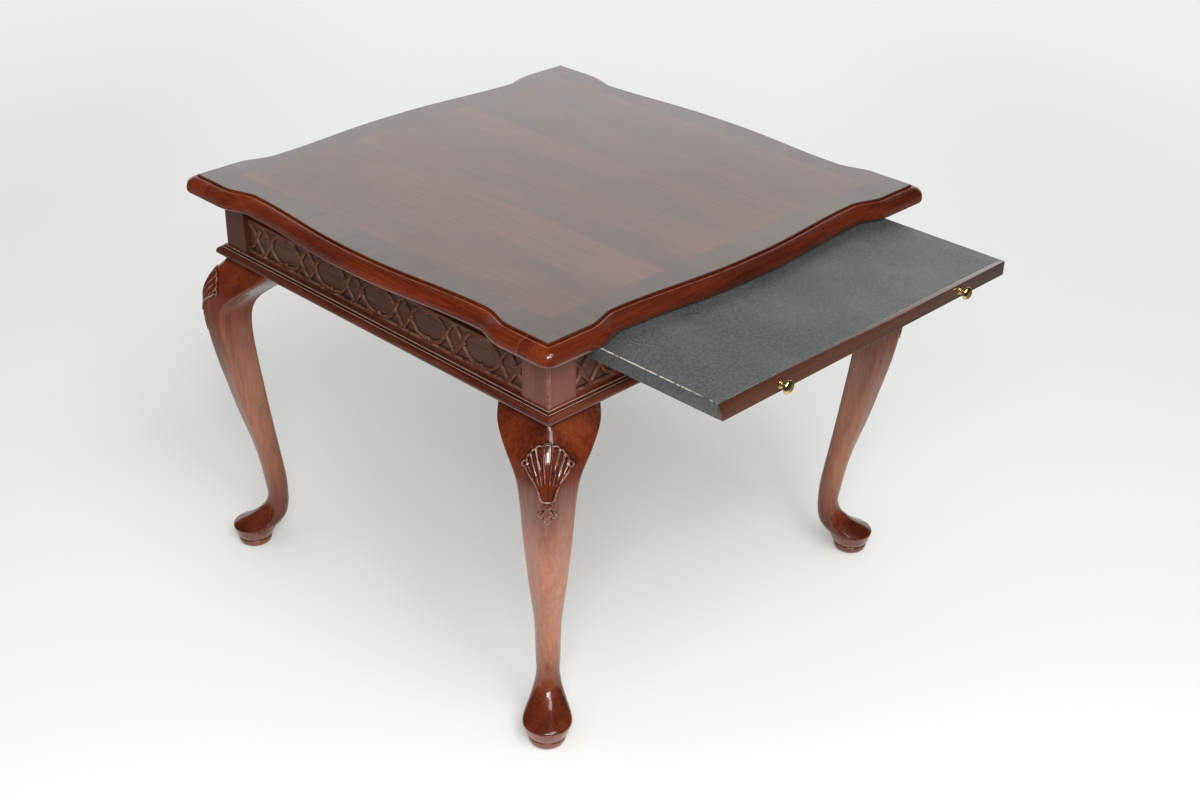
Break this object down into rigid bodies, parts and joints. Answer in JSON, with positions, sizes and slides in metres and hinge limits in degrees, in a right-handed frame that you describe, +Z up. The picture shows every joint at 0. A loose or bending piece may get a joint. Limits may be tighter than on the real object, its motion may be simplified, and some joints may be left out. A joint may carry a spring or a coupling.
{
  "type": "tray top tea table",
  "caption": "Low square tea table with a serpentine moulded top, fretwork frame, shell-carved cabriole legs and a leathercloth tray that slides out of one side on brass knobs.",
  "frame": {"origin": "on the floor, under the middle of the top and midway between the four feet", "axes": "+Z up; the tray slides out towards -Y, which is the front; +X is to the right seen from behind the table, so the left side is -X"},
  "size_m": [0.681, 0.866, 0.56],
  "materials": {
    "mahogany_edge": "red mahogany, polished lacquer",
    "field_veneer": "flat-cut mahogany veneer, polished lacquer",
    "crossband_veneer": "mahogany veneer laid across the edge, polished lacquer",
    "mahogany_leg": "solid mahogany, satin lacquer",
    "mahogany_frame": "solid mahogany, satin lacquer",
    "mahogany_tray_band": "solid mahogany, satin lacquer",
    "dark_stained_wood": "near-black stain",
    "secondary_wood": "bare, planed",
    "leathercloth": "black leathercloth, fine grain",
    "knob_brass": "polished",
    "screw_steel": "plain steel"
  },
  "bodies": {
    "table": {"base_moulding_back": "mahogany_frame", "base_moulding_front": "mahogany_frame", "base_moulding_left": "mahogany_frame", "base_moulding_right": "mahogany_frame", "block_screws": "screw_steel", "corner_block_back_left": "secondary_wood", "corner_block_back_right": "secondary_wood", "corner_block_front_left": "secondary_wood", "corner_block_front_right": "secondary_wood", "crossband_back": "crossband_veneer", "crossband_front": "crossband_veneer", "crossband_left": "crossband_veneer", "crossband_right": "crossband_veneer", "foot_glides": "screw_steel", "fret_panel_back": "mahogany_frame", "fret_panel_front": "mahogany_frame", "fret_panel_left": "mahogany_frame", "fret_panel_right": "mahogany_frame", "knee_bracket_back_left_a": "mahogany_leg", "knee_bracket_back_left_b": "mahogany_leg", "knee_bracket_back_right_a": "mahogany_leg", "knee_bracket_back_right_b": "mahogany_leg", "knee_bracket_front_left_a": "mahogany_leg", "knee_bracket_front_left_b": "mahogany_leg", "knee_bracket_front_right_a": "mahogany_leg", "knee_bracket_front_right_b": "mahogany_leg", "leg_back_left": "mahogany_leg", "leg_back_right": "mahogany_leg", "leg_front_left": "mahogany_leg", "leg_front_right": "mahogany_leg", "rail_back": "mahogany_frame", "rail_front": "mahogany_frame", "rail_left": "mahogany_frame", "rail_right": "mahogany_frame", "top_core": "secondary_wood", "top_edge_back": "mahogany_edge", "top_edge_front": "mahogany_edge", "top_edge_left": "mahogany_edge", "top_edge_right": "mahogany_edge", "top_screws": "screw_steel", "tray_back_stop": "dark_stained_wood", "tray_bearer_left": "secondary_wood", "tray_bearer_right": "secondary_wood", "tray_guide_left": "dark_stained_wood", "tray_guide_right": "dark_stained_wood", "veneer_leaf_centre": "field_veneer", "veneer_leaf_left": "field_veneer", "veneer_leaf_right": "field_veneer"},
    "tray": {"knob_left": "knob_brass", "knob_right": "knob_brass", "knob_screws": "screw_steel", "tray_board": "secondary_wood", "tray_cover": "leathercloth", "tray_front_band": "mahogany_tray_band", "tray_stop_pins": "screw_steel"}
  },
  "joints": [
    {"name": "tray_slide", "type": "slide", "parent": "table", "child": "tray", "axis": [0, -1, 0], "range_m": [-0.2114, 0.04]}
  ]
}
